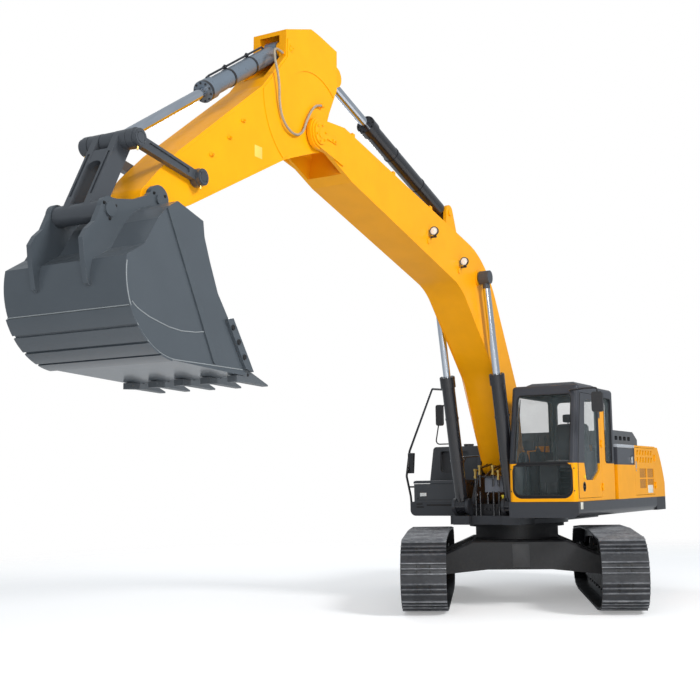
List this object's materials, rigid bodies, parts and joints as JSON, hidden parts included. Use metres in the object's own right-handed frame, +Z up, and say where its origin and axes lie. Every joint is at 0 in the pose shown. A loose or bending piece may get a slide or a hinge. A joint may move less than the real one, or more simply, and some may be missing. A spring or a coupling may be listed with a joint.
{
  "type": "crawler excavator",
  "caption": "Crawler excavator with a one-piece boom, arm and bucket on a swinging house with cab, over a tracked undercarriage; cylinders, doors, lids and bucket move.",
  "frame": {"origin": "swing axis at ground level", "axes": "+X forward along the boom, +Y to the cab side, +Z up; the undercarriage is turned 23 degrees against the house"},
  "size_m": [13.1849, 4.8568, 6.6587],
  "materials": {
    "yellow_paint": "satin",
    "cab_paint": "satin",
    "cab_frame_paint": "satin",
    "hose_cover": "matte sheath",
    "dark_paint": "dusty satin",
    "skirt_paint": "satin",
    "bearing_steel": "dull",
    "track_steel": "worn",
    "roller_steel": "worn",
    "engine_grey": "dull",
    "rail_paint": "satin",
    "window_glass": "clear",
    "seat_plastic": "matte",
    "black_paint": "gloss",
    "grey_paint": "satin",
    "chrome_rod": "polished",
    "bucket_paint": "satin",
    "tooth_steel": "worn"
  },
  "bodies": {
    "undercarriage": {"car_body": "dark_paint", "swing_bearing": "bearing_steel", "track_frame_left": "dark_paint", "track_frame_right": "dark_paint", "track_left": "track_steel", "track_right": "track_steel", "idler_left": "dark_paint", "idler_right": "dark_paint", "sprocket_left": "dark_paint", "sprocket_right": "dark_paint", "rollers_left": "roller_steel", "rollers_right": "roller_steel"},
    "house": {"platform_frame": "skirt_paint", "counterweight": "yellow_paint", "machinery_housing": "yellow_paint", "engine_block": "engine_grey", "fuel_tank": "black_paint", "hydraulic_tank": "black_paint", "toolbox": "black_paint", "handrails": "rail_paint", "mirrors": "rail_paint", "side_panel": "skirt_paint", "cab_shell": "cab_frame_paint", "cab_glass": "window_glass", "operator_seat": "seat_plastic", "console": "seat_plastic"},
    "cab_door": {"cab_door": "cab_paint", "door_glass": "window_glass"},
    "roof_hatch": {"roof_hatch": "cab_frame_paint"},
    "engine_hood": {"engine_hood": "black_paint"},
    "rear_left_door": {"rear_left_door": "yellow_paint"},
    "pump_door": {"pump_door": "yellow_paint"},
    "toolbox_lid": {"toolbox_lid": "black_paint"},
    "boom": {"boom": "yellow_paint", "boom_pipes": "rail_paint", "boom_lamps": "rail_paint"},
    "lift_barrel_left": {"lift_barrel_left": "black_paint"},
    "lift_barrel_right": {"lift_barrel_right": "black_paint"},
    "lift_rod_left": {"lift_rod_left": "chrome_rod"},
    "lift_rod_right": {"lift_rod_right": "chrome_rod"},
    "arm_cylinder_barrel": {"arm_cylinder_barrel": "black_paint"},
    "arm_cylinder_rod": {"arm_cylinder_rod": "chrome_rod"},
    "arm": {"arm": "yellow_paint", "arm_hose": "hose_cover"},
    "bucket_cylinder_barrel": {"bucket_cylinder_barrel": "grey_paint"},
    "bucket_cylinder_rod": {"bucket_cylinder_rod": "chrome_rod"},
    "side_levers": {"side_levers": "bucket_paint"},
    "bucket_link": {"bucket_link": "bucket_paint"},
    "bucket": {"bucket": "bucket_paint", "bucket_teeth": "tooth_steel", "side_cutters": "bucket_paint"}
  },
  "joints": [
    {"name": "house_swing", "type": "hinge", "parent": "undercarriage", "child": "house", "pos_m": [0, 0, 1.13], "axis": [0, 0, 1], "continuous": true},
    {"name": "boom_lift", "type": "hinge", "parent": "house", "child": "boom", "pos_m": [0.45, 0, 1.99], "axis": [0, -1, 0], "range_deg": [-76, 30]},
    {"name": "lift_barrel_turn_left", "type": "hinge", "parent": "house", "child": "lift_barrel_left", "pos_m": [1.13, 0.377, 1.4], "axis": [0, -1, 0], "range_deg": [-74.3, 29.45]},
    {"name": "lift_rod_slide_left", "type": "slide", "parent": "lift_barrel_left", "child": "lift_rod_left", "axis": [0.2235, 0, 0.9747], "range_m": [-1.009, 0.3995]},
    {"name": "lift_barrel_turn_right", "type": "hinge", "parent": "house", "child": "lift_barrel_right", "pos_m": [1.13, -0.377, 1.4], "axis": [0, -1, 0], "range_deg": [-74.3, 29.45]},
    {"name": "lift_rod_slide_right", "type": "slide", "parent": "lift_barrel_right", "child": "lift_rod_right", "axis": [0.2235, 0, 0.9747], "range_m": [-1.009, 0.3995]},
    {"name": "arm_swing", "type": "hinge", "parent": "boom", "child": "arm", "pos_m": [6.11, 0, 5.488], "axis": [0, 1, 0], "range_deg": [-27, 87]},
    {"name": "arm_cylinder_turn", "type": "hinge", "parent": "boom", "child": "arm_cylinder_barrel", "pos_m": [2.43, 0, 5.37], "axis": [0, 1, 0], "range_deg": [-1.18, 3.58]},
    {"name": "arm_cylinder_slide", "type": "slide", "parent": "arm_cylinder_barrel", "child": "arm_cylinder_rod", "axis": [0.9527, 0, 0.304], "range_m": [-0.42725, 1.37225]},
    {"name": "bucket_curl", "type": "hinge", "parent": "arm", "child": "bucket", "pos_m": [8.845, 0, 4.18], "axis": [0, 1, 0], "range_deg": [-125, 35]},
    {"name": "bucket_cylinder_turn", "type": "hinge", "parent": "arm", "child": "bucket_cylinder_barrel", "pos_m": [6.56, 0, 6.3], "axis": [0, 1, 0], "range_deg": [-10.1, 2.9]},
    {"name": "bucket_cylinder_slide", "type": "slide", "parent": "bucket_cylinder_barrel", "child": "bucket_cylinder_rod", "axis": [0.8411, 0, -0.5409], "range_m": [-1.03225, 0.28975]},
    {"name": "side_lever_turn", "type": "hinge", "parent": "arm", "child": "side_levers", "pos_m": [8.235, 0, 4.515], "axis": [0, 1, 0], "range_deg": [-81.45, 22.95]},
    {"name": "bucket_link_turn", "type": "hinge", "parent": "side_levers", "child": "bucket_link", "pos_m": [9.11, 0, 4.66], "axis": [0, 1, 0], "range_deg": [-18.75, 66.45]},
    {"name": "cab_door_turn", "type": "hinge", "parent": "house", "child": "cab_door", "pos_m": [0.384, 1.474, 2.2], "axis": [0, 0, 1], "range_deg": [0, 165]},
    {"name": "roof_hatch_turn", "type": "hinge", "parent": "house", "child": "roof_hatch", "pos_m": [0.107, 0.981, 3.062], "axis": [0, -1, 0], "range_deg": [0, 40]},
    {"name": "engine_hood_turn", "type": "hinge", "parent": "house", "child": "engine_hood", "pos_m": [-2.343, 0.335, 2.274], "axis": [0, -1, 0], "range_deg": [0, 60]},
    {"name": "rear_left_door_turn", "type": "hinge", "parent": "house", "child": "rear_left_door", "pos_m": [-2.4, 1.492, 1.86], "axis": [0, 0, 1], "range_deg": [0, 110]},
    {"name": "pump_door_turn", "type": "hinge", "parent": "house", "child": "pump_door", "pos_m": [-2.4, -1.462, 1.86], "axis": [0, 0, -1], "range_deg": [0, 110]},
    {"name": "toolbox_lid_turn", "type": "hinge", "parent": "house", "child": "toolbox_lid", "pos_m": [0.3, -0.627, 1.721], "axis": [-1, 0, 0], "range_deg": [0, 90]}
  ],
  "couplings": [
    {"joint": "lift_barrel_turn_left", "follows": "boom_lift", "ratio": 0.975},
    {"joint": "lift_rod_slide_left", "follows": "boom_lift", "m_per_rad": 0.75917},
    {"joint": "lift_barrel_turn_right", "follows": "boom_lift", "ratio": 0.975},
    {"joint": "lift_rod_slide_right", "follows": "boom_lift", "m_per_rad": 0.75917},
    {"joint": "arm_cylinder_turn", "follows": "arm_swing", "ratio": 0.04},
    {"joint": "arm_cylinder_slide", "follows": "arm_swing", "m_per_rad": 0.90241},
    {"joint": "bucket_cylinder_turn", "follows": "bucket_curl", "ratio": 0.08},
    {"joint": "bucket_cylinder_slide", "follows": "bucket_curl", "m_per_rad": 0.47269},
    {"joint": "side_lever_turn", "follows": "bucket_curl", "ratio": 0.65},
    {"joint": "bucket_link_turn", "follows": "bucket_curl", "ratio": -0.53}
  ]
}
